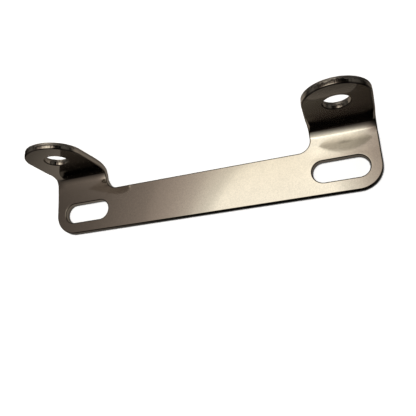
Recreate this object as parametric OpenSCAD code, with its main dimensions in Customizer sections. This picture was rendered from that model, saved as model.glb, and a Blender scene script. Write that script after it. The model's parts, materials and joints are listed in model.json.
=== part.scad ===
// Headlamp bracket: one folded sheet with a slotted mounting strip and two drilled ears.
// The strip lies on its back, X runs along it, the ears stand up in Z along its far edge.
// The origin is midway between the two slots, on the mounting face.

/* [Sheet] */
// Thickness of the sheet
sheet_t = 3; // [2:0.1:4]
// Inner radius of the two folds
fold_r = 3.6; // [2:0.1:6]
// Roll-over radius of the sheared edges on the front of the sheet
edge_r = 0.4; // [0.2:0.05:0.6]

/* [Mounting slots] */
// Distance between the centres of the two slots
slot_pitch = 120; // [90:1:200]
// Length of a slot from end to end
slot_l = 23.4; // [14:0.1:28]
// Width of a slot
slot_w = 9.5; // [5:0.1:12]

/* [Strip] */
// Distance from a slot's centre to the end of the strip
end_margin = 16.5; // [15:0.5:24]
// Width of the strip between its two long edges
strip_w = 19.8; // [18:0.1:26]
// Distance from the slots' centre line to the free long edge
slot_margin = 10; // [8:0.1:12]
// Radius of the two free corners
corner_r = 10; // [3:0.5:14]

/* [Tabs and ears] */
// Width of the tab that folds up into an ear
ear_w = 27.4; // [24:0.1:36]
// Radius of the notch where a tab's inner side meets the strip
notch_r = 5.4; // [1:0.1:10]
// Straight stretch of a tab's inner side between its notch and the fold
fold_gap = 0.2; // [0.1:0.1:10]
// Height of the ears' tips above the mounting face
ear_h = 37.8; // [32:0.1:60]
// Radius of an ear's rounded tip
tip_r = 13.3; // [11:0.1:14]

/* [Lamp holes] */
// Diameter of the bolt hole in each ear
lamp_hole_d = 10.5; // [6:0.1:14]
// Distance of the holes' centres below the ears' tips
lamp_hole_drop = 14; // [10:0.1:18]

/* [Hidden] */
$fn = 96;

half_l = slot_pitch / 2 + end_margin;
half_ear = ear_w / 2;
// Across the strip: its two long edges, the line where the folds start, the ears' inner face
free_y = -slot_margin;
top_y = free_y + strip_w;
fold_y = top_y + notch_r + fold_gap;
ear_y = fold_y + fold_r;
// Along the strip: an ear's middle and its tab's inner side
ear_x = half_l - half_ear;
tab_x = half_l - ear_w;
// Upwards: where a fold ends in its ear, the centres of the ear's tip and of its hole
foot_z = sheet_t + fold_r;
tip_z = ear_h - tip_r;
lamp_hole_z = ear_h - lamp_hole_drop;
// An ear's side runs straight from its foot to where it touches the tip's circle
foot_d = norm([half_ear, tip_z - foot_z]);
side_a = acos(tip_r / foot_d) - atan2(tip_z - foot_z, half_ear);
touch = [tip_r * cos(side_a), tip_z + tip_r * sin(side_a)];
// How far a cutting solid stands clear of the metal
clear = 0.5;

// Draws what it is given at one end of the strip, and mirrored at the other
module both_ends() {
    for (side = [0, 1]) mirror([side, 0, 0]) children();
}

// What is cut off a square corner to round it
module corner_waste() {
    difference() {
        translate([0, -clear]) square(corner_r + clear);
        translate([0, corner_r]) circle(corner_r);
    }
}

// The strip alone, with its two free corners rounded
module strip_outline() {
    difference() {
        translate([-half_l, free_y]) square([2 * half_l, strip_w]);
        both_ends() translate([half_l - corner_r, free_y]) corner_waste();
    }
}

// A tab, and the fillet that its inner side runs out in
module tab_outline() {
    translate([tab_x, free_y + corner_r]) square([ear_w, fold_y - free_y - corner_r]);
    difference() {
        translate([tab_x - notch_r, top_y - clear]) square([notch_r + clear, notch_r + clear]);
        translate([tab_x - notch_r, top_y + notch_r]) circle(notch_r);
    }
}

// A slot about its own centre
module slot_outline() {
    square([slot_l - slot_w, slot_w], center = true);
    both_ends() translate([(slot_l - slot_w) / 2, 0]) circle(d = slot_w);
}

// An ear seen square on, with the height above the mounting face as y
module ear_outline() {
    translate([0, tip_z]) circle(tip_r);
    polygon([[-half_ear, foot_z], [half_ear, foot_z], touch, [-touch[0], touch[1]]]);
}

// What the shear rolls over at an edge: x runs into the metal, y is the height above its face.
// The arc meets both faces at a shallow angle, as on a punched part.
module roll_over() {
    inset = 1.2 * edge_r;
    difference() {
        translate([-clear, -edge_r]) square(edge_r + clear);
        translate([inset, -inset]) circle(norm([inset, inset - edge_r]));
    }
}

// Along a straight edge from p to q, with the metal on its left
module edge_along(p, q) {
    translate(p) rotate(atan2(q[1] - p[1], q[0] - p[0]))
        rotate([90, 0, 90]) linear_extrude(norm(q - p)) roll_over();
}

// Round an arc about c from angle a, with the metal inside or outside its circle
module edge_round(c, r, a, sweep, metal_inside) {
    translate(c) rotate_extrude(start = a, angle = sweep)
        translate([r, 0]) mirror([metal_inside ? 1 : 0, 0]) roll_over();
}

// Round the whole front of the strip and its tabs, as far as the folds
module strip_edges() {
    edge_along([corner_r - half_l, free_y], [half_l - corner_r, free_y]);
    edge_along([tab_x - notch_r, top_y], [notch_r - tab_x, top_y]);
    both_ends() {
        edge_round([half_l - corner_r, free_y + corner_r], corner_r, -90, 90, true);
        edge_along([half_l, free_y + corner_r], [half_l, fold_y]);
        edge_along([tab_x, fold_y], [tab_x, top_y + notch_r]);
        edge_round([tab_x - notch_r, top_y + notch_r], notch_r, -90, 90, false);
    }
}

// Round the mouth of a slot, about its own centre
module slot_edges() {
    reach = (slot_l - slot_w) / 2;
    for (turn = [0, 180]) rotate(turn) {
        edge_along([-reach, slot_w / 2], [reach, slot_w / 2]);
        edge_round([reach, 0], slot_w / 2, -90, 180, false);
    }
}

// The two inner edges of a fold, about the fold's own axis
module fold_edges() {
    for (side = [0, 1]) translate([0, 0, side * ear_w]) mirror([0, 0, side])
        rotate_extrude(start = -90, angle = 90) translate([fold_r, 0]) rotate(90) roll_over();
}

// An ear's sides, tip and hole, seen square on
module ear_edges() {
    edge_along([half_ear, foot_z], touch);
    edge_round([0, tip_z], tip_r, side_a, 180 - 2 * side_a, true);
    edge_along([-touch[0], touch[1]], [-half_ear, foot_z]);
    edge_round([0, lamp_hole_z], lamp_hole_d / 2, 0, 360, false);
}

// Turns what is drawn about Z into a fold, whose axis runs along X from the tab's inner side
module about_fold() {
    translate([tab_x, fold_y, foot_z]) rotate([90, 0, 90]) children();
}

// Stands a drawing up at an ear: its x stays along the strip and its y becomes the height
module upright(y) {
    translate([ear_x, y, 0]) rotate([90, 0, 0]) children();
}

// The part of the sheet that stays flat: the strip and its tabs, with the slots punched
module flat_sheet() {
    linear_extrude(sheet_t) difference() {
        union() {
            strip_outline();
            both_ends() tab_outline();
        }
        both_ends() translate([slot_pitch / 2, 0]) slot_outline();
    }
}

// A fold and the ear that it carries, with the hole punched
module folded_ear() {
    about_fold() rotate_extrude(start = -90, angle = 90)
        translate([fold_r, 0]) square([sheet_t, ear_w]);
    upright(ear_y + sheet_t) linear_extrude(sheet_t) difference() {
        ear_outline();
        translate([0, lamp_hole_z]) circle(d = lamp_hole_d);
    }
}

// The whole sheet, with its sheared edges rolled over on the side that faces the punch
module bracket() {
    color("silver") difference() {
        union() {
            flat_sheet();
            both_ends() folded_ear();
        }
        translate([0, 0, sheet_t]) strip_edges();
        both_ends() {
            translate([slot_pitch / 2, 0, sheet_t]) slot_edges();
            about_fold() fold_edges();
            upright(ear_y) ear_edges();
        }
    }
}

bracket();
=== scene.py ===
"""A headlamp bracket of bright rolled stainless sheet, lying on a light table under an oval lamp.

The bracket is made the way a press shop makes it: a flat blank is punched, its sheared edges are
torn and rolled over, and the press brake folds up the two ears.
"""

import json
import logging
import math
from dataclasses import dataclass, field
from enum import Enum
from typing import Any, Sequence

import bpy
import numpy as np
from mathutils import Matrix, Vector
from mathutils.geometry import delaunay_2d_cdt

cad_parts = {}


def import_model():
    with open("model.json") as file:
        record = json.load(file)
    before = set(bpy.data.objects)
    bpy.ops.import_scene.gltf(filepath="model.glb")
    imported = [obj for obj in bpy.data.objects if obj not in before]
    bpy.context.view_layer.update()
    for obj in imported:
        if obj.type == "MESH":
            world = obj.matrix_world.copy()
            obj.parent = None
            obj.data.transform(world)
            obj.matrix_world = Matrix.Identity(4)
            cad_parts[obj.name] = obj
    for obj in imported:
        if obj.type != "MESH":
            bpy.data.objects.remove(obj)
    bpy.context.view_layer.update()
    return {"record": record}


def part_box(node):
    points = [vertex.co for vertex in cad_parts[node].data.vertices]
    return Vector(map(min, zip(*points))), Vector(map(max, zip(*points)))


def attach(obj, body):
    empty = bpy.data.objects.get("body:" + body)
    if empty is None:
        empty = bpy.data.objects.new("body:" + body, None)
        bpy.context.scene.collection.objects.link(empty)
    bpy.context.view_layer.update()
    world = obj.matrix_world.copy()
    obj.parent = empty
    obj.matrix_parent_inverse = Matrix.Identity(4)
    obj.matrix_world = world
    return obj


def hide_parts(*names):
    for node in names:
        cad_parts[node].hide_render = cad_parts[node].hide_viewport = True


MM = 0.001
NODE = "bracket"
PICTURE_SIDE_PX = 416
# How the blank is cut into triangles: only inside its outlines, and when two points count as one
INSIDE_ONLY = 1
SAME_POINT = 1e-9

log = logging.getLogger("headlamp_bracket")


class Face(Enum):
    """A broad face of the sheet, by the end of the thickness that it lies at."""

    BACK = 0
    FRONT = 1


class Region(Enum):
    """What a sheet's surface is, by how it was made."""

    ROLLED = "rolled"
    SHEARED = "sheared"


class Graph:
    """Adds nodes to a node tree and joins them, so that a formula reads in order."""

    def __init__(self, tree: bpy.types.NodeTree) -> None:
        """Takes an empty or part-built node tree to build in."""
        self.tree = tree

    def add(self, kind: str, **settings: Any) -> bpy.types.Node:
        """Adds one node.

        Args:
            kind: Blender's name for the node's type.
            **settings: Properties to set on it.

        Returns:
            The node.
        """
        node = self.tree.nodes.new(kind)
        for name, value in settings.items():
            setattr(node, name, value)
        return node

    def put(self, socket: bpy.types.NodeSocket, value: Any) -> None:
        """Feeds an input, from another node's output or as a plain value.

        Args:
            socket: The input.
            value: An output socket, or a number, vector or colour.
        """
        if isinstance(value, bpy.types.NodeSocket):
            self.tree.links.new(value, socket)
        else:
            socket.default_value = value

    def feed(self, node: bpy.types.Node, **inputs: Any) -> bpy.types.Node:
        """Feeds inputs by their names, written with _ for a space.

        Args:
            node: The node.
            **inputs: A value or an output socket for each input.

        Returns:
            The same node.
        """
        for name, value in inputs.items():
            self.put(node.inputs[name.replace("_", " ")], value)
        return node

    def math(self, operation: str, *values: Any, clamp: bool = False) -> bpy.types.NodeSocket:
        """Works out one scalar operation.

        Args:
            operation: The Math node's operation.
            *values: Its operands.
            clamp: Keeps the result between 0 and 1.

        Returns:
            The result's socket.
        """
        node = self.add("ShaderNodeMath", operation=operation, use_clamp=clamp)
        for socket, value in zip(node.inputs, values):
            self.put(socket, value)
        return node.outputs[0]

    def vector(self, operation: str, *values: Any) -> bpy.types.NodeSocket:
        """Works out one vector operation.

        Args:
            operation: The Vector Math node's operation.
            *values: Its operands.

        Returns:
            The result's socket.
        """
        node = self.add("ShaderNodeVectorMath", operation=operation)
        for socket, value in zip((s for s in node.inputs if s.enabled), values):
            self.put(socket, value)
        return self.live(node.outputs)

    def split(self, place: Any) -> bpy.types.bpy_prop_collection:
        """The three coordinates of a position, as sockets."""
        return self.feed(self.add("ShaderNodeSeparateXYZ"), Vector=place).outputs

    @staticmethod
    def live(sockets: bpy.types.bpy_prop_collection) -> bpy.types.NodeSocket:
        """The first socket that a node of several data types has in use."""
        return next(socket for socket in sockets if socket.enabled)

    def smooth(self, value: Any, low: Any, high: Any, bottom: float = 0.0,
               top: float = 1.0) -> bpy.types.NodeSocket:
        """Eases from bottom to top as a value goes from low to high.

        Args:
            value: What is mapped.
            low: Where the ease starts.
            high: Where it ends.
            bottom: The result at low.
            top: The result at high.

        Returns:
            The result's socket.
        """
        node = self.add("ShaderNodeMapRange", interpolation_type="SMOOTHSTEP")
        for socket, given in zip(node.inputs, (value, low, high, bottom, top)):
            self.put(socket, given)
        return node.outputs[0]

    def noise(self, place: Any, size: float, *, detail: float, roughness: float,
              seed: float) -> bpy.types.NodeSocket:
        """Adds noise whose lumps are about a given size.

        Args:
            place: The position socket, in metres.
            size: The lumps' size in metres.
            detail: How many finer octaves it has.
            roughness: How strong the finer octaves are.
            seed: Chooses one pattern among many.

        Returns:
            The noise, from 0 to 1.
        """
        node = self.add("ShaderNodeTexNoise", noise_dimensions="4D")
        self.feed(node, Vector=place, Scale=1.0 / size, Detail=detail, Roughness=roughness, W=seed)
        return node.outputs[0]

    def stretch(self, place: Any, factors: Sequence[float]) -> bpy.types.NodeSocket:
        """Scales a position by a factor on each axis, which stretches a pattern read there."""
        return self.vector("MULTIPLY", place, tuple(factors))

    def position(self) -> bpy.types.NodeSocket:
        """The places of a geometry's points."""
        return self.add("GeometryNodeInputPosition").outputs[0]

    def move(self, geometry: bpy.types.NodeSocket, **target: Any) -> bpy.types.NodeSocket:
        """Moves a geometry's points by an Offset or to a Position, and returns the geometry."""
        return self.feed(self.add("GeometryNodeSetPosition"), Geometry=geometry, **target).outputs[0]


def add_object(name: str, data: bpy.types.ID) -> bpy.types.Object:
    """Puts a new object into the scene.

    Args:
        name: The object's name.
        data: Its mesh or its camera.

    Returns:
        The object.
    """
    made = bpy.data.objects.new(name, data)
    bpy.context.scene.collection.objects.link(made)
    return made


@dataclass(frozen=True)
class Bend:
    """One arc of a fold: its inner radius in metres and its angle in degrees."""

    name: str
    radius: float
    angle: float


# The arcs of a fold in turn, from the flat strip up to the ear
FOLD_BENDS = (
    Bend("Lead-in", 75.0 * MM, 1.3),
    Bend("Swell", 140.0 * MM, 1.65),
    Bend("Rise", 37.0 * MM, 5.35),
    Bend("Shoulder", 4.6 * MM, 9.1),
    Bend("Flank", 13.8 * MM, 10.0),
    Bend("Nose", 0.9 * MM, 37.6),
    Bend("Ear flank", 10.4 * MM, 17.1),
    Bend("Run-out", 22.0 * MM, 5.7),
    Bend("Settling", 70.0 * MM, 2.2),
)


@dataclass(frozen=True)
class SheetSizes:
    """The bracket's sizes in metres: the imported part's, and with defaults those it doesn't state."""

    half_length: float
    free_edge: float
    ear_face: float
    height: float
    slot_pitch: float
    slot_length: float
    slot_radius: float
    ear_pitch: float
    hole_height: float
    hole_radius: float
    thickness: float = 3.0 * MM
    strip_width: float = 19.8 * MM
    corner_radius: float = 10.0 * MM
    notch_radius: float = 5.4 * MM
    tip_radius: float = 13.3 * MM
    neutral_share: float = 0.4

    @classmethod
    def from_frame(cls, record: dict[str, Any]) -> "SheetSizes":
        """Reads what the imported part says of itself.

        Args:
            record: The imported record.

        Returns:
            The sizes.
        """
        low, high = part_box(NODE)
        mounts = {mount["name"]: mount for mount in record["mounts"]}
        slots, holes = mounts["mounting_slots"]["dims"], mounts["lamp_holes"]["dims"]
        return cls(
            half_length=high.x,
            free_edge=low.y,
            ear_face=high.y - cls.thickness,
            height=high.z,
            slot_pitch=slots["spacing_x_mm"] * MM,
            slot_length=slots["slot_length_mm"] * MM,
            slot_radius=slots["hole_r_mm"] * MM,
            ear_pitch=holes["spacing_x_mm"] * MM,
            hole_height=mounts["lamp_holes"]["pos_m"][2],
            hole_radius=holes["hole_r_mm"] * MM,
        )

    @property
    def ear_x(self) -> float:
        """The middle of an ear along the strip."""
        return self.ear_pitch / 2

    @property
    def half_ear(self) -> float:
        """Half the width of a tab and of an ear's foot."""
        return self.half_length - self.ear_x

    @property
    def tab_x(self) -> float:
        """A tab's inner side."""
        return self.ear_x - self.half_ear

    @property
    def top_edge(self) -> float:
        """The strip's upper long edge."""
        return self.free_edge + self.strip_width

    @property
    def fold_reaches(self) -> tuple[float, float]:
        """How far a fold starts and ends from the corner that its two flat inner faces would make.

        Returns:
            Its reach along the tab, and its reach up the ear.
        """
        turned, along, up = 0.0, 0.0, 0.0
        for bend in FOLD_BENDS:
            new = turned + math.radians(bend.angle)
            along += bend.radius * (math.sin(new) - math.sin(turned))
            up += bend.radius * (math.cos(turned) - math.cos(new))
            turned = new
        return along, up

    @property
    def fold_start(self) -> float:
        """Where the flat ends and a fold starts."""
        return self.ear_face - self.fold_reaches[0]

    @property
    def fold_run(self) -> float:
        """A fold's developed length on the flat blank."""
        depth = self.neutral_share * self.thickness
        return sum(math.radians(bend.angle) * (bend.radius + depth) for bend in FOLD_BENDS)

    @property
    def fold_end(self) -> float:
        """Where a fold ends and an ear starts, on the flat blank."""
        return self.fold_start + self.fold_run

    @property
    def lift(self) -> float:
        """What turns a height above the mounting face into a place on the flat blank."""
        return self.fold_end - self.thickness - self.fold_reaches[1]

    @property
    def tip_centre(self) -> float:
        """The centre of an ear's tip, on the flat blank."""
        return self.height - self.tip_radius + self.lift


def straight(start: Sequence[float], end: Sequence[float], pitch: float) -> np.ndarray:
    """Points along a straight stretch, without its end.

    Args:
        start: Where it starts.
        end: Where it ends.
        pitch: The points' greatest distance.

    Returns:
        One row for each point.
    """
    a, b = np.array(start, float), np.array(end, float)
    count = max(1, math.ceil(np.linalg.norm(b - a) / pitch))
    return a + np.arange(count)[:, None] / count * (b - a)


def arc(centre: Sequence[float], radius: float, start: float, sweep: float, pitch: float) -> np.ndarray:
    """Points along an arc, without its end.

    Args:
        centre: Its centre.
        radius: Its radius.
        start: The angle it starts at, in degrees.
        sweep: The angle it turns through, in degrees, below zero clockwise.
        pitch: The points' greatest distance.

    Returns:
        One row for each point.
    """
    count = max(4, math.ceil(abs(math.radians(sweep)) * radius / pitch))
    angles = np.radians(start + sweep * np.arange(count) / count)
    return np.array(centre, float) + radius * np.stack([np.cos(angles), np.sin(angles)], axis=1)


def enclosed(points: np.ndarray, loops: Sequence[np.ndarray]) -> np.ndarray:
    """Tells which points lie in the metal that the outlines enclose.

    Args:
        points: One row for each point.
        loops: The outlines, of which each inner one is a hole.

    Returns:
        True for each point in the metal.
    """
    found = np.zeros(len(points), bool)
    for loop in loops:
        for a, b in zip(loop, np.roll(loop, -1, axis=0)):
            if a[1] != b[1]:
                spans = (points[:, 1] >= min(a[1], b[1])) & (points[:, 1] < max(a[1], b[1]))
                crossing = a[0] + (points[:, 1] - a[1]) * (b[0] - a[0]) / (b[1] - a[1])
                found ^= spans & (points[:, 0] < crossing)
    return found


@dataclass(frozen=True)
class WallRow:
    """One row of points round a sheared wall.

    It has its depth into the metal, its height above the back, what it is, and how far it belongs to
    the roll-over.
    """

    inset: float
    height: float
    region: Region
    rolled: float = 0.0


@dataclass
class SheetMesh:
    """A mesh in the making, with the attributes that the forming steps and the finishes read."""

    places: list[np.ndarray] = field(default_factory=list)
    inward: list[np.ndarray] = field(default_factory=list)
    rolled: list[np.ndarray] = field(default_factory=list)
    faces: list[tuple[int, ...]] = field(default_factory=list)
    sheared: list[bool] = field(default_factory=list)
    total: int = 0

    def add_points(self, flat: np.ndarray, height: float, inward: np.ndarray, rolled: float) -> np.ndarray:
        """Adds points at one height.

        Args:
            flat: Their places on the blank, one row each.
            height: Their height above the back face.
            inward: The direction into the metal, one row each, of no length where nothing is torn.
            rolled: How far they belong to the roll-over.

        Returns:
            Their numbers.
        """
        count = len(flat)
        self.places.append(np.column_stack([flat, np.full(count, height)]))
        self.inward.append(np.column_stack([inward, np.zeros(count)]))
        self.rolled.append(np.full(count, rolled))
        self.total += count
        return np.arange(self.total - count, self.total)

    def add_face(self, corners: tuple[int, ...], sheared: bool) -> None:
        """Adds one face by the numbers of its corners."""
        self.faces.append(corners)
        self.sheared.append(sheared)

    def flat_places(self, points: np.ndarray) -> np.ndarray:
        """The places on the blank of the points with the given numbers."""
        return np.concatenate(self.places)[points][:, :2]

    def mesh(self, name: str) -> bpy.types.Mesh:
        """Makes the mesh.

        Args:
            name: Its name.

        Returns:
            The mesh, with its attributes.
        """
        made = bpy.data.meshes.new(name)
        made.from_pydata(np.concatenate(self.places).tolist(), [], self.faces)
        inward = made.attributes.new("inward", "FLOAT_VECTOR", "POINT")
        inward.data.foreach_set("vector", np.concatenate(self.inward).astype(np.float32).ravel())
        rolled = made.attributes.new("roll_over", "FLOAT", "POINT")
        rolled.data.foreach_set("value", np.concatenate(self.rolled).astype(np.float32))
        made.attributes.new("sheared", "BOOLEAN", "FACE").data.foreach_set("value", self.sheared)
        made.polygons.foreach_set("use_smooth", [True] * len(made.polygons))
        made.update()
        return made


@dataclass(frozen=True)
class PunchedBlank:
    """The flat blank as the punch leaves it, before it is folded."""

    sizes: SheetSizes
    pitch: float = 0.36 * MM
    flat_step: float = 2.2 * MM
    flat_clearance: float = 0.25
    fold_step: float = 0.22 * MM
    fold_cross_step: float = 1.1 * MM
    fold_clearance: float = 0.8
    break_rows: int = 3
    wall_rows: int = 15
    roll_rows: int = 6
    roll_width: float = 0.36 * MM
    roll_depth: float = 0.44 * MM
    roll_turn: float = 66.0
    roll_loss: float = 0.4
    back_break: float = 0.10 * MM
    support: float = 0.16 * MM

    def outer(self) -> np.ndarray:
        """The blank's outline, with the metal on its left.

        Returns:
            One row for each point.
        """
        s = self.sizes
        foot = np.array([s.half_ear, 0.0])
        tip = np.array([0.0, s.tip_centre - s.fold_end])
        reach = np.linalg.norm(foot - tip)
        lean = math.degrees(math.acos(s.tip_radius / reach) - math.atan2(tip[1], foot[0]))
        touch = tip + s.tip_radius * np.array([math.cos(math.radians(lean)), math.sin(math.radians(lean))])
        corner = (s.half_length - s.corner_radius, s.free_edge + s.corner_radius)
        notch = (s.tab_x - s.notch_radius, s.top_edge + s.notch_radius)
        ear = np.array([s.ear_x, s.fold_end])
        mirror = np.array([-1.0, 1.0])
        half = np.concatenate([
            straight((0.0, s.free_edge), (corner[0], s.free_edge), self.pitch),
            arc(corner, s.corner_radius, -90.0, 90.0, self.pitch),
            straight((s.half_length, corner[1]), ear + foot, self.pitch),
            straight(ear + foot, ear + touch, self.pitch),
            arc(ear + tip, s.tip_radius, lean, 180.0 - 2.0 * lean, self.pitch),
            straight(ear + touch * mirror, ear - foot, self.pitch),
            straight(ear - foot, (s.tab_x, notch[1]), self.pitch),
            arc(notch, s.notch_radius, 0.0, -90.0, self.pitch),
            straight((notch[0], s.top_edge), (0.0, s.top_edge), self.pitch),
            [[0.0, s.top_edge]],
        ])
        return np.concatenate([half, (half * mirror)[-2:0:-1]])

    def slot(self, side: int) -> np.ndarray:
        """A mounting slot's outline, with the metal on its left.

        Args:
            side: Which end of the strip, -1 for the left and 1 for the right.

        Returns:
            One row for each point.
        """
        s = self.sizes
        x, reach = side * s.slot_pitch / 2, s.slot_length / 2 - s.slot_radius
        return np.concatenate([
            straight((x - reach, s.slot_radius), (x + reach, s.slot_radius), self.pitch),
            arc((x + reach, 0.0), s.slot_radius, 90.0, -180.0, self.pitch),
            straight((x + reach, -s.slot_radius), (x - reach, -s.slot_radius), self.pitch),
            arc((x - reach, 0.0), s.slot_radius, -90.0, -180.0, self.pitch),
        ])

    def ear_hole(self, side: int) -> np.ndarray:
        """An ear hole's outline on the flat blank, with the metal on its left."""
        s = self.sizes
        return arc((side * s.ear_x, s.hole_height + s.lift), s.hole_radius, 0.0, -360.0, self.pitch)

    def loops(self) -> list[np.ndarray]:
        """Every outline of the blank, the outer one first."""
        return [self.outer(), *[cut(side) for side in (-1, 1) for cut in (self.slot, self.ear_hole)]]

    def profile(self) -> list[WallRow]:
        """The rows of a sheared wall, from the back face round to the front.

        Returns:
            The rows, of which the first and the last lie on the two broad faces.
        """
        t = self.sizes.thickness
        rows = [WallRow(self.back_break + self.support, 0.0, Region.ROLLED)]
        for turn in np.linspace(0.0, math.pi / 2, self.break_rows):
            inset = self.back_break * (1.0 - math.sin(turn))
            rows.append(WallRow(inset, self.back_break * (1.0 - math.cos(turn)), Region.SHEARED))
        for height in np.linspace(self.back_break, t - self.roll_depth, self.wall_rows + 1)[1:]:
            rows.append(WallRow(0.0, float(height), Region.SHEARED, 1.0))
        last = math.radians(self.roll_turn)
        for turn in np.linspace(0.0, last, self.roll_rows + 1)[1:]:
            inset = self.roll_width * (1.0 - math.cos(turn)) / (1.0 - math.cos(last))
            drop = self.roll_depth * (1.0 - math.sin(turn) / math.sin(last))
            rows.append(WallRow(inset, t - drop, Region.ROLLED, 1.0 - self.roll_loss * turn / last))
        rows.append(WallRow(self.roll_width + self.support, t, Region.ROLLED))
        return rows

    def add_wall(self, sheet: SheetMesh, loop: np.ndarray) -> tuple[np.ndarray, np.ndarray]:
        """Adds the wall along one outline.

        Args:
            sheet: The mesh in the making.
            loop: The outline, with the metal on its left.

        Returns:
            The numbers of the wall's points that its back face and its front face start from.
        """
        along = np.roll(loop, -1, axis=0) - np.roll(loop, 1, axis=0)
        outward = np.stack([along[:, 1], -along[:, 0]], axis=1)
        outward /= np.linalg.norm(outward, axis=1, keepdims=True)
        rows = self.profile()
        rings = []
        for row in rows:
            flat = loop - outward * row.inset
            held = 1.0 if row.region is Region.SHEARED else 0.0
            rings.append(sheet.add_points(flat, row.height, -outward * held, row.rolled))
        for k in range(len(rows) - 1):
            low, high = rings[k], rings[k + 1]
            cut = rows[k].region is Region.SHEARED and rows[k + 1].region is Region.SHEARED
            for i, j in zip(range(len(loop)), np.roll(range(len(loop)), -1)):
                sheet.add_face((low[i], low[j], high[j], high[i]), cut)
        return rings[0], rings[-1]

    def inner_points(self, rings: np.ndarray) -> np.ndarray:
        """Points spread over the flat faces, close together where the sheet folds.

        Args:
            rings: The outlines' innermost points, which the others keep clear of.

        Returns:
            One row for each point.
        """
        s, found = self.sizes, []
        levels = [*np.arange(s.free_edge, s.fold_start, self.flat_step / 2),
                  *np.arange(s.fold_end + self.flat_step, s.height + s.lift, self.flat_step)]
        across = np.arange(-s.half_length, s.half_length, self.flat_step)
        found += [(x, level, self.flat_clearance * self.flat_step) for level in levels for x in across]
        folds = np.arange(s.fold_start, s.fold_end + self.flat_step / 2, self.fold_step)
        tab = np.arange(s.tab_x, s.half_length, self.fold_cross_step)
        found += [(side * x, level, self.fold_clearance * self.fold_step)
                  for side in (-1, 1) for level in folds for x in tab]
        points = np.array(found)
        clear = np.array([np.min(np.hypot(*(rings - p[:2]).T)) > p[2] for p in points])
        return points[clear & enclosed(points[:, :2], self.loops()), :2]

    def add_broad_faces(self, sheet: SheetMesh, rings: dict[Face, list[np.ndarray]]) -> None:
        """Fills the back and the front inside their outlines, both in the same triangles.

        Args:
            sheet: The mesh in the making, with its walls.
            rings: For each face, the numbers of the points that it starts from at each outline.
        """
        edges, start = [], 0
        for ring in rings[Face.FRONT]:
            edges += [(start + i, start + (i + 1) % len(ring)) for i in range(len(ring))]
            start += len(ring)
        outlines = [sheet.flat_places(ring) for ring in rings[Face.FRONT]]
        inner = self.inner_points(np.concatenate(outlines))
        flat = np.concatenate([*outlines, inner])
        _, _, triangles, sources, _, _ = delaunay_2d_cdt(
            [Vector(p) for p in flat], edges, [], INSIDE_ONLY, SAME_POINT)
        middles = np.array([np.mean([flat[sources[corner][0]] for corner in triangle], axis=0)
                            for triangle in triangles])
        kept = np.flatnonzero(enclosed(middles, outlines))
        for face, starts in rings.items():
            height = self.sizes.thickness * face.value
            filling = sheet.add_points(inner, height, np.zeros_like(inner), 0.0)
            numbers = np.concatenate([*starts, filling])
            for triangle in (triangles[i] for i in kept):
                corners = tuple(numbers[sources[corner][0]] for corner in triangle)
                sheet.add_face(corners if face is Face.FRONT else corners[::-1], False)

    def build(self, name: str) -> bpy.types.Object:
        """Makes the blank as one closed mesh.

        Args:
            name: The object's name.

        Returns:
            The blank, with the attributes that the forming steps read.
        """
        sheet = SheetMesh()
        walls = [self.add_wall(sheet, loop) for loop in self.loops()]
        self.add_broad_faces(sheet, {Face.BACK: [back for back, _ in walls],
                                     Face.FRONT: [front for _, front in walls]})
        return add_object(name, sheet.mesh(name))


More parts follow.
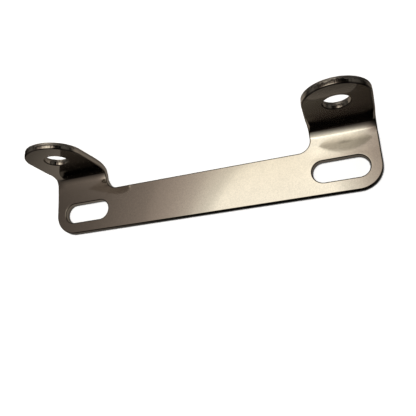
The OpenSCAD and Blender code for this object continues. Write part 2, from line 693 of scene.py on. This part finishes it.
@dataclass(frozen=True)
class Forming:
    """The shop's two steps on a punched blank: the torn edges, and the folds of the press brake."""

    sizes: SheetSizes
    torn_share: float = 0.40
    torn_recess: float = 0.07 * MM
    tear_size: float = 1.5 * MM
    tear_height_share: float = 0.15
    tear_sway: float = 0.75
    tear_softness: float = 0.05
    tear_relief: float = 0.16 * MM
    grain_floor: float = 0.3
    curl: float = 0.24 * MM
    curl_width: float = 4.5 * MM
    curl_start: float = 7.3 * MM
    curl_full: float = 10.8 * MM
    curl_release: float = 5.0 * MM
    fade: float = 8.0 * MM
    seed: float = 4.0

    def values(self) -> dict[str, float]:
        """The tree's inputs by name, in metres and radians.

        Returns:
            Each input's value.
        """
        s = self.sizes
        given = {
            "Torn share": self.torn_share, "Torn recess": self.torn_recess,
            "Tear size": self.tear_size, "Tear sway": self.tear_sway, "Tear relief": self.tear_relief,
            "Seed": self.seed, "Thickness": s.thickness, "Neutral share": s.neutral_share,
            "Fold start": s.fold_start, "Fold end": s.fold_end, "Tab side": s.tab_x,
            "Tab fade": s.notch_radius + self.fade, "Ear middle": s.ear_x, "Half ear": s.half_ear,
            "Curl": self.curl, "Curl width": self.curl_width, "Curl start": self.curl_start,
            "Curl full": self.curl_full, "Curl release": self.curl_release,
        }
        for bend in FOLD_BENDS:
            given[bend.name + " radius"] = bend.radius
            given[bend.name + " angle"] = math.radians(bend.angle)
        return given

    def tree(self, finishes: dict[Region, bpy.types.Material]) -> bpy.types.NodeTree:
        """Builds the Geometry Nodes tree of both steps.

        Args:
            finishes: The material of each region.

        Returns:
            The tree.
        """
        tree = bpy.data.node_groups.new("form_bracket", "GeometryNodeTree")
        tree.interface.new_socket("Blank", in_out="INPUT", socket_type="NodeSocketGeometry")
        for name in self.values():
            tree.interface.new_socket(name, in_out="INPUT", socket_type="NodeSocketFloat")
        tree.interface.new_socket("Bracket", in_out="OUTPUT", socket_type="NodeSocketGeometry")
        graph = Graph(tree)
        given = graph.add("NodeGroupInput").outputs
        blank = self.keep_place(graph, given["Blank"])
        torn = self.tear(graph, blank, given)
        curled = self.curl_sides(graph, torn, given)
        folded = self.fold(graph, curled, given)
        real = graph.feed(graph.add("GeometryNodeRealizeInstances"), Geometry=folded)
        rolled = graph.add("GeometryNodeSetMaterial")
        graph.feed(rolled, Geometry=real.outputs[0], Material=finishes[Region.ROLLED])
        cut = graph.add("GeometryNodeInputNamedAttribute", data_type="BOOLEAN")
        graph.feed(cut, Name="sheared")
        edge = graph.add("GeometryNodeSetMaterial")
        graph.feed(edge, Geometry=rolled.outputs[0], Selection=graph.live(cut.outputs),
                   Material=finishes[Region.SHEARED])
        graph.put(graph.add("NodeGroupOutput").inputs[0], edge.outputs[0])
        return tree

    @staticmethod
    def store(graph: Graph, geometry: bpy.types.NodeSocket, name: str, kind: str,
              value: Any) -> bpy.types.NodeSocket:
        """Keeps a value on the points under a name that the finishes can read.

        Args:
            graph: The tree's graph.
            geometry: What carries the points.
            name: The attribute's name.
            kind: Blender's name for its data type.
            value: What is kept.

        Returns:
            The geometry with the attribute.
        """
        node = graph.add("GeometryNodeStoreNamedAttribute", data_type=kind, domain="POINT")
        graph.feed(node, Geometry=geometry, Name=name)
        graph.put(next(s for s in node.inputs if s.enabled and s.name == "Value"), value)
        return node.outputs[0]

    def keep_place(self, graph: Graph, blank: bpy.types.NodeSocket) -> bpy.types.NodeSocket:
        """Keeps each point's place on the flat blank, which the rolled grain follows round the folds."""
        place = graph.position()
        return self.store(graph, blank, "blank_place", "FLOAT_VECTOR", place)

    def tear(self, graph: Graph, blank: bpy.types.NodeSocket, given: Any) -> bpy.types.NodeSocket:
        """Tears the back part of each sheared wall, below a ragged line.

        Args:
            graph: The tree's graph.
            blank: The blank's geometry.
            given: The tree's inputs.

        Returns:
            The geometry with its walls torn.
        """
        place = graph.position()
        depth = graph.math("DIVIDE", graph.split(place)[2], given["Thickness"])
        along = graph.stretch(place, (1.0, 1.0, self.tear_height_share))
        ragged = graph.add("ShaderNodeTexNoise", noise_dimensions="4D")
        scale = graph.math("DIVIDE", 1.0, given["Tear size"])
        graph.feed(ragged, Vector=along, Scale=scale, Detail=3.0, Roughness=0.65, W=given["Seed"])
        sway = graph.math("MULTIPLY", graph.math("SUBTRACT", ragged.outputs[0], 0.5), given["Tear sway"])
        line = graph.math("ADD", given["Torn share"], sway)
        torn = graph.smooth(graph.math("SUBTRACT", line, depth), -self.tear_softness, self.tear_softness)
        grains = graph.add("ShaderNodeTexNoise", noise_dimensions="4D")
        finer = graph.math("MULTIPLY", scale, 2.0)
        graph.feed(grains, Vector=place, Scale=finer, Detail=2.0, W=given["Seed"])
        proud = graph.math("SUBTRACT", grains.outputs[0], self.grain_floor, clamp=True)
        relief = graph.math("MULTIPLY", proud, given["Tear relief"])
        sunk = graph.math("MULTIPLY", graph.math("ADD", relief, given["Torn recess"]), torn)
        inward = graph.add("GeometryNodeInputNamedAttribute", data_type="FLOAT_VECTOR")
        graph.feed(inward, Name="inward")
        offset = graph.vector("SCALE", graph.live(inward.outputs), sunk)
        return self.store(graph, graph.move(blank, Offset=offset), "torn", "FLOAT", torn)

    def curl_sides(self, graph: Graph, sheet: bpy.types.NodeSocket, given: Any) -> bpy.types.NodeSocket:
        """Draws the front of a tab down at its two sides, where the fold pulls on them.

        Args:
            graph: The tree's graph.
            sheet: The flat geometry.
            given: The tree's inputs.

        Returns:
            The geometry with its sides curled.
        """
        x, across, height = graph.split(graph.position())
        out = graph.math("SUBTRACT", graph.math("ABSOLUTE", x), given["Ear middle"])
        off = graph.math("ABSOLUTE", out)
        inset = graph.math("DIVIDE", graph.math("SUBTRACT", given["Half ear"], off), given["Curl width"])
        side = graph.math("POWER", graph.math("SUBTRACT", 1.0, inset, clamp=True), 2.0)
        past = graph.math("SUBTRACT", across, given["Fold start"])
        begun = graph.smooth(past, given["Curl start"], given["Curl full"])
        ending = graph.smooth(graph.math("SUBTRACT", given["Fold end"], across), 0.0, given["Curl release"])
        level = graph.math("DIVIDE", height, given["Thickness"])
        stretch = graph.math("MULTIPLY", begun, ending)
        amount = graph.math("MULTIPLY", stretch, graph.math("MULTIPLY", side, level))
        drop = graph.math("MULTIPLY", graph.math("MULTIPLY", amount, given["Curl"]), -1.0)
        offset = graph.feed(graph.add("ShaderNodeCombineXYZ"), Z=drop).outputs[0]
        return graph.move(sheet, Offset=offset)

    def fold(self, graph: Graph, sheet: bpy.types.NodeSocket, given: Any) -> bpy.types.NodeSocket:
        """Bends what lies past the fold line round the fold's arcs, and stands the rest up.

        Args:
            graph: The tree's graph.
            sheet: The flat geometry.
            given: The tree's inputs.

        Returns:
            The folded geometry.
        """
        x, across, height = graph.split(graph.position())
        inset = graph.math("MULTIPLY", given["Thickness"], given["Neutral share"])
        neutral = graph.math("SUBTRACT", given["Thickness"], inset)
        past = graph.math("SUBTRACT", across, given["Fold start"])
        faded = graph.math("SUBTRACT", given["Tab side"], given["Tab fade"])
        held = graph.smooth(graph.math("ABSOLUTE", x), faded, given["Tab side"])
        left = graph.math("MULTIPLY", past, held)
        level = graph.math("MAXIMUM", graph.math("SUBTRACT", past, left), 0.0)
        y: Any = graph.math("ADD", graph.math("MINIMUM", across, given["Fold start"]), level)
        z: Any = neutral
        sine: Any = 0.0
        cosine: Any = 1.0
        turned: Any = 0.0
        for part in (bend.name for bend in FOLD_BENDS):
            radius = graph.math("ADD", given[part + " radius"], inset)
            progress = graph.math("MAXIMUM", graph.math("DIVIDE", left, radius), 0.0)
            turned = graph.math("ADD", turned, graph.math("MINIMUM", progress, given[part + " angle"]))
            left = graph.math("SUBTRACT", left, graph.math("MULTIPLY", radius, given[part + " angle"]))
            new_sine, new_cosine = graph.math("SINE", turned), graph.math("COSINE", turned)
            y = graph.math("MULTIPLY_ADD", radius, graph.math("SUBTRACT", new_sine, sine), y)
            z = graph.math("MULTIPLY_ADD", radius, graph.math("SUBTRACT", cosine, new_cosine), z)
            sine, cosine = new_sine, new_cosine
        above = graph.math("SUBTRACT", height, neutral)
        y = graph.math("SUBTRACT", y, graph.math("MULTIPLY", above, sine))
        z = graph.math("MULTIPLY_ADD", above, cosine, z)
        z = graph.math("ADD", z, graph.math("MAXIMUM", left, 0.0))
        target = graph.feed(graph.add("ShaderNodeCombineXYZ"), X=x, Y=y, Z=z).outputs[0]
        return graph.move(sheet, Position=target)

    def apply(self, piece: bpy.types.Object, finishes: dict[Region, bpy.types.Material]) -> None:
        """Forms a blank and leaves it a plain mesh.

        Args:
            piece: The punched blank.
            finishes: The material of each region.
        """
        modifier = piece.modifiers.new("form", "NODES")
        modifier.node_group = self.tree(finishes)
        values = self.values()
        for socket in modifier.node_group.interface.items_tree:
            if socket.in_out == "INPUT" and socket.name in values:
                modifier[socket.identifier] = values[socket.name]
        bpy.context.view_layer.update()
        formed = piece.evaluated_get(bpy.context.evaluated_depsgraph_get())
        mesh = bpy.data.meshes.new_from_object(formed)
        piece.modifiers.clear()
        piece.data = mesh
        mesh.name = piece.name


class Finish:
    """A surface finish that makes its own material."""

    name = "finish"

    def material(self) -> bpy.types.Material:
        """Makes the material.

        Returns:
            The material, with its nodes built.
        """
        made = bpy.data.materials.new(self.name)
        made.use_nodes = True
        made.node_tree.nodes.clear()
        graph = Graph(made.node_tree)
        output = graph.add("ShaderNodeOutputMaterial")
        graph.feed(output, Surface=self.shade(graph))
        return made

    def shade(self, graph: Graph) -> bpy.types.NodeSocket:
        """Builds the shader in the material's graph and returns its output."""
        raise NotImplementedError

    @staticmethod
    def place(graph: Graph) -> bpy.types.NodeSocket:
        """The surface's place on the flat blank, in metres."""
        return graph.add("ShaderNodeAttribute", attribute_name="blank_place").outputs["Vector"]

    @staticmethod
    def own_place(graph: Graph) -> bpy.types.NodeSocket:
        """The place on the object itself, in metres from its middle."""
        return graph.add("ShaderNodeTexCoord").outputs["Object"]

    @staticmethod
    def kept_value(graph: Graph, name: str) -> bpy.types.NodeSocket:
        """A value from 0 to 1 that the mesh carries under a name."""
        return graph.add("ShaderNodeAttribute", attribute_name=name).outputs["Fac"]

    @staticmethod
    def emit(graph: Graph, colour: Any, strength: Any) -> bpy.types.NodeSocket:
        """Makes a surface that only glows."""
        glow = graph.add("ShaderNodeEmission")
        return graph.feed(glow, Color=colour, Strength=strength).outputs[0]

    @staticmethod
    def tints(graph: Graph, amount: Any, first: Any, second: Any) -> bpy.types.NodeSocket:
        """Blends two colours, or outputs that carry one, by an amount from 0 to 1.

        Args:
            graph: The material's graph.
            amount: The second colour's share.
            first: The first colour.
            second: The second colour.

        Returns:
            The blend.
        """
        mix = graph.add("ShaderNodeMix", data_type="RGBA")
        graph.put(mix.inputs[0], amount)
        for socket, colour in zip(mix.inputs[6:8], (first, second)):
            graph.put(socket, (*colour, 1.0) if isinstance(colour, tuple) else colour)
        return mix.outputs[2]


@dataclass(frozen=True)
class RolledSheet(Finish):
    """Bright rolled stainless sheet: a satin mirror with faint clouds, mottle and rolling grain.

    Its rolled-over edges are darkened with painted shade.
    """

    name: str = "bright_rolled_sheet"
    tint: tuple[float, float, float] = (0.672, 0.627, 0.560)
    cloud_tint: tuple[float, float, float] = (0.612, 0.574, 0.516)
    roll_shade_tint: tuple[float, float, float] = (0.300, 0.265, 0.230)
    roughness: float = 0.078
    roll_roughness: float = 0.10
    roll_shade_gain: float = 1.6
    cloud_size: float = 5.0 * MM
    cloud_spread: float = 0.05
    cloud_share: float = 0.4
    grain: float = 0.02
    grain_size: float = 0.35 * MM
    grain_stretch: tuple[float, float, float] = (0.12, 1.0, 1.0)
    grain_height: float = 0.004
    wave_size: float = 9.0 * MM
    wave_stretch: tuple[float, float, float] = (0.5, 1.0, 1.0)
    wave_height: float = 0.6
    mottle_size: float = 0.65 * MM
    mottle_share: float = 1.5
    patch_offset: float = -0.45
    patch_edges: tuple[float, float] = (0.25, 0.75)
    bump: float = 0.02 * MM

    def shade(self, graph: Graph) -> bpy.types.NodeSocket:
        """Builds the metal with its clouds and grain.

        Args:
            graph: The material's graph.

        Returns:
            The shader's output.
        """
        place = self.place(graph)
        clouds = graph.noise(place, self.cloud_size, detail=3.0, roughness=0.6, seed=1.0)
        grain = graph.noise(graph.stretch(place, self.grain_stretch), self.grain_size,
                            detail=2.0, roughness=0.6, seed=2.0)
        waves = graph.noise(graph.stretch(place, self.wave_stretch), self.wave_size,
                            detail=1.0, roughness=0.5, seed=3.0)
        mottle = graph.noise(place, self.mottle_size, detail=2.0, roughness=0.7, seed=4.0)
        spread = graph.math("MULTIPLY", graph.math("SUBTRACT", clouds, 0.5), 2.0 * self.cloud_spread)
        streaks = graph.math("MULTIPLY", graph.math("SUBTRACT", grain, 0.5), 2.0 * self.grain)
        rough = graph.math("ADD", graph.math("ADD", spread, streaks), self.roughness)
        rolled = self.kept_value(graph, "roll_over")
        rough = graph.math("MULTIPLY_ADD", rolled, self.roll_roughness, rough)
        fine = graph.math("MULTIPLY", grain, self.grain_height)
        height = graph.math("MULTIPLY_ADD", waves, self.wave_height, fine)
        bump = graph.feed(graph.add("ShaderNodeBump"), Strength=1.0, Distance=self.bump, Height=height)
        cloudy = graph.math("MULTIPLY_ADD", clouds, self.cloud_share, self.patch_offset)
        mixed = graph.math("MULTIPLY_ADD", mottle, self.mottle_share, cloudy)
        patches = graph.smooth(mixed, *self.patch_edges)
        # Painted shade: the rolled-over edges are blended towards a dark tint.
        edge = graph.math("MULTIPLY", rolled, self.roll_shade_gain, clamp=True)
        flat_tint = self.tints(graph, patches, self.tint, self.cloud_tint)
        tint = self.tints(graph, edge, flat_tint, self.roll_shade_tint)
        metal = graph.add("ShaderNodeBsdfPrincipled")
        graph.feed(metal, Base_Color=tint, Metallic=1.0, Roughness=rough, Normal=bump.outputs[0])
        return metal.outputs[0]


@dataclass(frozen=True)
class ShearedEdge(Finish):
    """A sheared edge: a burnished land with draw marks, and a torn band that is rough and greyer."""

    name: str = "sheared_edge"
    land_tint: tuple[float, float, float] = (0.66, 0.615, 0.55)
    torn_tint: tuple[float, float, float] = (0.50, 0.465, 0.42)
    land_roughness: float = 0.10
    torn_roughness: float = 0.36
    mark_size: float = 0.85 * MM
    mark_stretch: tuple[float, float, float] = (1.0, 1.0, 0.08)
    mark_bump: float = 0.150 * MM
    grit_size: float = 0.75 * MM
    grit_stretch: tuple[float, float, float] = (1.0, 1.0, 0.35)
    grit_bump: float = 0.16 * MM

    def shade(self, graph: Graph) -> bpy.types.NodeSocket:
        """Builds the metal of both bands, and the ragged change between them.

        Args:
            graph: The material's graph.

        Returns:
            The shader's output.
        """
        place = self.place(graph)
        torn = self.kept_value(graph, "torn")
        marks = graph.noise(graph.stretch(place, self.mark_stretch), self.mark_size,
                            detail=2.0, roughness=0.6, seed=5.0)
        grit = graph.noise(graph.stretch(place, self.grit_stretch), self.grit_size,
                           detail=3.0, roughness=0.7, seed=6.0)
        height = graph.add("ShaderNodeMix", data_type="FLOAT")
        graph.put(height.inputs[0], torn)
        graph.put(height.inputs[2], graph.math("MULTIPLY", marks, self.mark_bump))
        graph.put(height.inputs[3], graph.math("MULTIPLY", grit, self.grit_bump))
        bump = graph.feed(graph.add("ShaderNodeBump"), Strength=1.0, Distance=1.0, Height=height.outputs[0])
        rough = graph.smooth(torn, 0.0, 1.0, self.land_roughness, self.torn_roughness)
        metal = graph.add("ShaderNodeBsdfPrincipled")
        tint = self.tints(graph, torn, self.land_tint, self.torn_tint)
        graph.feed(metal, Base_Color=tint, Metallic=1.0, Roughness=rough, Normal=bump.outputs[0])
        return metal.outputs[0]


@dataclass(frozen=True)
class TableTop(Finish):
    """The light table's opal top, lit from below so that only a faint shadow shows on it."""

    name: str = "opal_table_top"
    glow: float = 0.80
    tint: tuple[float, float, float] = (0.90, 0.90, 0.89)
    roughness: float = 0.8
    contact_shadow_reach: float = 0.56 * MM
    contact_shadow_power: float = 5.0
    contact_shadow_samples: int = 12

    def shade(self, graph: Graph) -> bpy.types.NodeSocket:
        """Builds the opal sheet: pale, matt and evenly glowing, with a painted contact shadow right where
        metal touches it.

        Args:
            graph: The material's graph.

        Returns:
            The shader's output.
        """
        # Painted contact shadow: ambient occlusion close to the metal darkens the top's colour and its
        # glow.
        near = graph.add("ShaderNodeAmbientOcclusion", samples=self.contact_shadow_samples)
        graph.feed(near, Distance=self.contact_shadow_reach)
        lit = graph.math("POWER", near.outputs["AO"], self.contact_shadow_power)
        top = graph.add("ShaderNodeBsdfPrincipled")
        graph.feed(top, Roughness=self.roughness, Emission_Color=(1.0, 1.0, 1.0, 1.0))
        graph.feed(top, Base_Color=self.tints(graph, lit, (0.0, 0.0, 0.0), self.tint),
                   Emission_Strength=graph.math("MULTIPLY", lit, self.glow))
        return top.outputs[0]


@dataclass(frozen=True)
class Step:
    """A soft step of the lamp's brightness: how far out it lies, its width and its height."""

    radius: float
    width: float
    height: float


@dataclass(frozen=True)
class HotSpot:
    """A bell-shaped bright spot of the lamp: its place, its two radii and its strength."""

    place: tuple[float, float]
    radii: tuple[float, float]
    strength: float


@dataclass(frozen=True)
class OvalLamp(Finish):
    """An oval diffuser: a bright field with stepped rings, hot spots, and a warmer glow round it.

    Each edge is where a shade starts and where it ends, along the lamp or across it.
    """

    name: str = "oval_lamp"
    long_share: float = 0.6
    field_level: float = 0.92
    field_radius: float = 0.114
    field_fade: float = 0.053
    glow: float = 0.140
    glow_radius: float = 0.25
    glow_fade: float = 0.25
    steps: tuple[Step, ...] = (
        Step(0.1225, 0.008, 0.24), Step(0.145, 0.007, 0.08), Step(0.206, 0.008, 0.045))
    hot_spots: tuple[HotSpot, ...] = (
        HotSpot((0.034, 0.007), (0.100, 0.060), 1.0), HotSpot((0.085, 0.172), (0.030, 0.022), 0.45))
    near_edge: tuple[float, float] = (-0.206, 0.029)
    near_level: float = 0.124
    near_turn: tuple[float, float] = (-0.10, 0.43)
    left_edge: tuple[float, float] = (-0.62, -0.46)
    right_edge: tuple[float, float] = (0.15, 0.24)
    end_level: float = 0.15
    last_edge: tuple[float, float] = (-1.026, -0.562)
    far_edge: tuple[float, float] = (0.222, 0.262)
    far_level: float = 0.25
    far_tint_edge: tuple[float, float] = (0.13, 0.20)
    glow_tint_edge: tuple[float, float] = (0.1, 0.9)
    tint: tuple[float, float, float] = (1.0, 0.965, 0.860)
    far_tint: tuple[float, float, float] = (1.0, 0.945, 0.810)
    glow_tint: tuple[float, float, float] = (1.0, 0.840, 0.735)

    def shade(self, graph: Graph) -> bpy.types.NodeSocket:
        """Builds the glow from how far a place lies from the lamp's middle.

        Args:
            graph: The material's graph.

        Returns:
            The shader's output.
        """
        place = self.own_place(graph)
        along, across, _ = graph.split(place)
        away = graph.vector("LENGTH", graph.stretch(place, (1.0, self.long_share, 1.0)))
        past = graph.math("MAXIMUM", graph.math("SUBTRACT", away, self.field_radius), 0.0)
        tail = graph.math("EXPONENT", graph.math("DIVIDE", past, -self.field_fade))
        outer = graph.math("MAXIMUM", graph.math("SUBTRACT", away, self.glow_radius), 0.0)
        dim = graph.math("EXPONENT", graph.math("DIVIDE", outer, -self.glow_fade))
        level = graph.math("MULTIPLY_ADD", dim, self.glow, graph.math("MULTIPLY", tail, self.field_level))
        for spot in self.hot_spots:
            offset = graph.vector("SUBTRACT", place, (*spot.place, 0.0))
            spread = graph.stretch(offset, (1.0 / spot.radii[0], 1.0 / spot.radii[1], 0.0))
            square = graph.vector("DOT_PRODUCT", spread, spread)
            bell = graph.math("EXPONENT", graph.math("MULTIPLY", square, -1.0))
            level = graph.math("MULTIPLY_ADD", bell, spot.strength, level)
        for step in self.steps:
            inner, rim = step.radius - step.width / 2, step.radius + step.width / 2
            level = graph.math("ADD", level, graph.smooth(away, inner, rim, step.height, 0.0))
        turn = graph.math("MAXIMUM", graph.math("SUBTRACT", self.near_turn[0], along), 0.0)
        turned = graph.math("MULTIPLY_ADD", turn, self.near_turn[1], across)
        shaded = graph.math("MULTIPLY", graph.smooth(turned, *self.near_edge, self.near_level, 1.0),
                            graph.smooth(across, *self.last_edge))
        left = graph.smooth(along, *self.left_edge, self.end_level, 1.0)
        right = graph.smooth(along, *self.right_edge, 1.0, self.end_level)
        shaded = graph.math("MULTIPLY", graph.math("MULTIPLY", shaded, left), right)
        far = graph.smooth(across, *self.far_edge, 1.0, self.far_level)
        bright = self.tints(graph, graph.smooth(across, *self.far_tint_edge), self.tint, self.far_tint)
        tint = self.tints(graph, graph.smooth(tail, *self.glow_tint_edge), self.glow_tint, bright)
        return self.emit(graph, tint, graph.math("MULTIPLY", level, graph.math("MULTIPLY", shaded, far)))


@dataclass(frozen=True)
class Spot:
    """A bell-shaped pool of light on the card.

    It has its centre, its radius, its strength, and where its near side is cut off.
    """

    centre: tuple[float, float]
    radius: float
    strength: float
    near_edge: tuple[float, float]


@dataclass(frozen=True)
class PooledCard(Finish):
    """A card under the bracket with pools of light on it, seen only as a reflection in the metal."""

    name: str = "card_under_bracket"
    spots: tuple[Spot, ...] = (
        Spot((0.020, 0.042), 0.070, 0.26, (-0.012, 0.010)),
        Spot((-0.070, 0.005), 0.030, 0.12, (-0.060, -0.030)),
    )
    falloff: float = 0.7
    floor_level: float = 0.003
    tint: tuple[float, float, float] = (1.0, 0.88, 0.76)

    def shade(self, graph: Graph) -> bpy.types.NodeSocket:
        """Builds the pools as bells round their centres.

        Args:
            graph: The material's graph.

        Returns:
            The shader's output.
        """
        place = self.own_place(graph)
        across = graph.split(place)[1]
        level: Any = self.floor_level
        for spot in self.spots:
            offset = graph.vector("SUBTRACT", place, (*spot.centre, 0.0))
            distance = graph.math("DIVIDE", graph.vector("LENGTH", offset), spot.radius)
            held = graph.smooth(across, *spot.near_edge)
            square = graph.math("POWER", distance, 2.0)
            bell = graph.math("EXPONENT", graph.math("MULTIPLY", square, -self.falloff))
            level = graph.math("MULTIPLY_ADD", bell, graph.math("MULTIPLY", held, spot.strength), level)
        return self.emit(graph, (*self.tint, 1.0), level)


@dataclass(frozen=True)
class PaleScreen(Finish):
    """A pale screen beside the table, which the metal shows mainly to an eye that is low."""

    name: str = "pale_screen"
    glow: float = 0.09
    foot_share: float = 0.4
    half_height: float = 0.20
    tint: tuple[float, float, float] = (1.0, 0.93, 0.85)

    def shade(self, graph: Graph) -> bpy.types.NodeSocket:
        """Builds an even glow that fades towards the screen's foot.

        Args:
            graph: The material's graph.

        Returns:
            The shader's output.
        """
        up = graph.split(self.own_place(graph))[1]
        share = graph.smooth(up, -self.half_height, 0.0, self.foot_share, 1.0)
        return self.emit(graph, (*self.tint, 1.0), graph.math("MULTIPLY", share, self.glow))


@dataclass(frozen=True)
class HeadlampBracket:
    """The bracket itself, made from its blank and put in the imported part's place."""

    sizes: SheetSizes
    rolled: RolledSheet = RolledSheet()
    sheared: ShearedEdge = ShearedEdge()
    name: str = "bracket_sheet"

    def build(self) -> bpy.types.Object:
        """Punches, tears and folds the sheet.

        Returns:
            The finished bracket.
        """
        piece = PunchedBlank(self.sizes).build(self.name)
        finishes = {Region.ROLLED: self.rolled.material(), Region.SHEARED: self.sheared.material()}
        Forming(self.sizes).apply(piece, finishes)
        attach(piece, "root")
        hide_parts(NODE)
        log.info("%s: %d faces", piece.name, len(piece.data.polygons))
        return piece


def panel(name: str, finish: Finish, half: Sequence[float], place: Sequence[float],
          turn: Matrix | None = None) -> bpy.types.Object:
    """Hangs a flat panel in the studio.

    Args:
        name: The panel's name.
        finish: Its finish.
        half: Half its width and half its length, in metres.
        place: Where its middle is.
        turn: How it is turned, or None where it lies level.

    Returns:
        The panel.
    """
    mesh = bpy.data.meshes.new(name)
    corners = [(x * half[0], y * half[1], 0.0) for x, y in ((-1, -1), (1, -1), (1, 1), (-1, 1))]
    mesh.from_pydata(corners, [], [(0, 1, 2, 3)])
    mesh.materials.append(finish.material())
    made = add_object(name, mesh)
    made.matrix_world = Matrix.Translation(place) @ (turn or Matrix.Identity(4))
    return made


@dataclass(frozen=True)
class Studio:
    """The light table, the oval lamp above it, the screens beside it and the dark room round them."""

    table_radius: float = 2.4
    table_spokes: int = 96
    rim_height: float = 1.6
    rim_radius: float = 0.8
    rim_rows: int = 12
    lamp_half: tuple[float, float] = (0.9, 1.05)
    lamp_place: tuple[float, float, float] = (-0.044, -0.017, 0.42)
    card_half: tuple[float, float] = (1.2, 1.2)
    card_drop: float = 0.6 * MM
    screen_distance: float = 0.5
    room: tuple[float, float, float] = (0.0035, 0.0028, 0.0024)

    def table(self) -> bpy.types.Object:
        """Makes the table top, which turns up into a pale wall far behind the bracket.

        Returns:
            The table top.
        """
        section = [(self.table_radius + self.rim_radius * math.sin(a), self.rim_radius * (1 - math.cos(a)))
                   for a in np.linspace(0.0, math.pi / 2, self.rim_rows)]
        section.append((self.table_radius + self.rim_radius, self.rim_height))
        spokes = self.table_spokes
        verts = [(0.0, 0.0, 0.0)]
        for radius, height in section:
            verts += [(radius * math.cos(a), radius * math.sin(a), height)
                      for a in np.linspace(0.0, 2 * math.pi, spokes, endpoint=False)]
        faces: list[tuple[int, ...]] = []
        for i in range(spokes):
            j = (i + 1) % spokes
            faces.append((0, 1 + i, 1 + j))
            for ring in range(len(section) - 1):
                low, high = 1 + ring * spokes, 1 + (ring + 1) * spokes
                faces.append((low + i, high + i, high + j, low + j))
        mesh = bpy.data.meshes.new("light_table")
        mesh.from_pydata(verts, [], faces)
        mesh.materials.append(TableTop().material())
        mesh.polygons.foreach_set("use_smooth", [True] * len(mesh.polygons))
        made = add_object("light_table", mesh)
        made.visible_glossy = False
        return made

    def screens(self) -> list[bpy.types.Object]:
        """Stands a pale screen behind the bracket and one at either end of it.

        Returns:
            The three screens.
        """
        pale = PaleScreen()
        half = (self.screen_distance, pale.half_height)
        made = []
        for side, quarter_turns in (("back", 0), ("left", 1), ("right", 3)):
            turn = Matrix.Rotation(quarter_turns * math.pi / 2, 4, "Z")
            place = turn @ Vector((0.0, self.screen_distance, pale.half_height))
            upright = turn @ Matrix.Rotation(math.pi / 2, 4, "X")
            made.append(panel(f"{side}_screen", pale, half, place, upright))
        return made

    def build(self) -> None:
        """Builds everything that isn't the bracket."""
        self.table()
        over = panel("oval_lamp", OvalLamp(), self.lamp_half, self.lamp_place)
        over.visible_camera = False
        card = panel("reflection_card", PooledCard(), self.card_half, (0.0, 0.0, -self.card_drop))
        for mirrored in (card, *self.screens()):
            mirrored.visible_camera = mirrored.visible_diffuse = mirrored.visible_shadow = False
        world = bpy.data.worlds.new("dark_room")
        world.use_nodes = True
        world.node_tree.nodes["Background"].inputs["Color"].default_value = (*self.room, 1.0)
        bpy.context.scene.world = world
        bpy.context.scene.view_settings.view_transform = "Standard"


@dataclass(frozen=True)
class PhotoCamera:
    """The camera at the photograph's viewing angle. Its axes are unit vectors in the part's frame."""

    place: tuple[float, float, float] = (0.06735, -0.06974, 0.19692)
    right: tuple[float, float, float] = (0.94048, -0.05619, -0.33517)
    up: tuple[float, float, float] = (0.14791, 0.95561, 0.25484)
    focal_px: float = 486.25
    sensor: float = 36.0
    nearest: float = 0.01

    def build(self) -> bpy.types.Object:
        """Makes the camera and gives it to the scene.

        Returns:
            The camera.
        """
        right = Vector(self.right).normalized()
        back = right.cross(Vector(self.up)).normalized()
        up = back.cross(right)
        data = bpy.data.cameras.new("photo_camera")
        data.sensor_width = self.sensor
        data.lens = self.focal_px / PICTURE_SIDE_PX * self.sensor
        data.clip_start = self.nearest
        made = add_object("photo_camera", data)
        made.matrix_world = Matrix.Translation(self.place) @ Matrix((right, up, back)).transposed().to_4x4()
        bpy.context.scene.camera = made
        return made


def main() -> None:
    """Builds the bracket and its studio."""
    logging.basicConfig(level=logging.INFO, format="%(name)s: %(message)s")
    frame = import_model()
    PhotoCamera().build()
    Studio().build()
    HeadlampBracket(SheetSizes.from_frame(frame["record"])).build()
    bpy.context.view_layer.update()


if __name__ == "__main__":
    main()
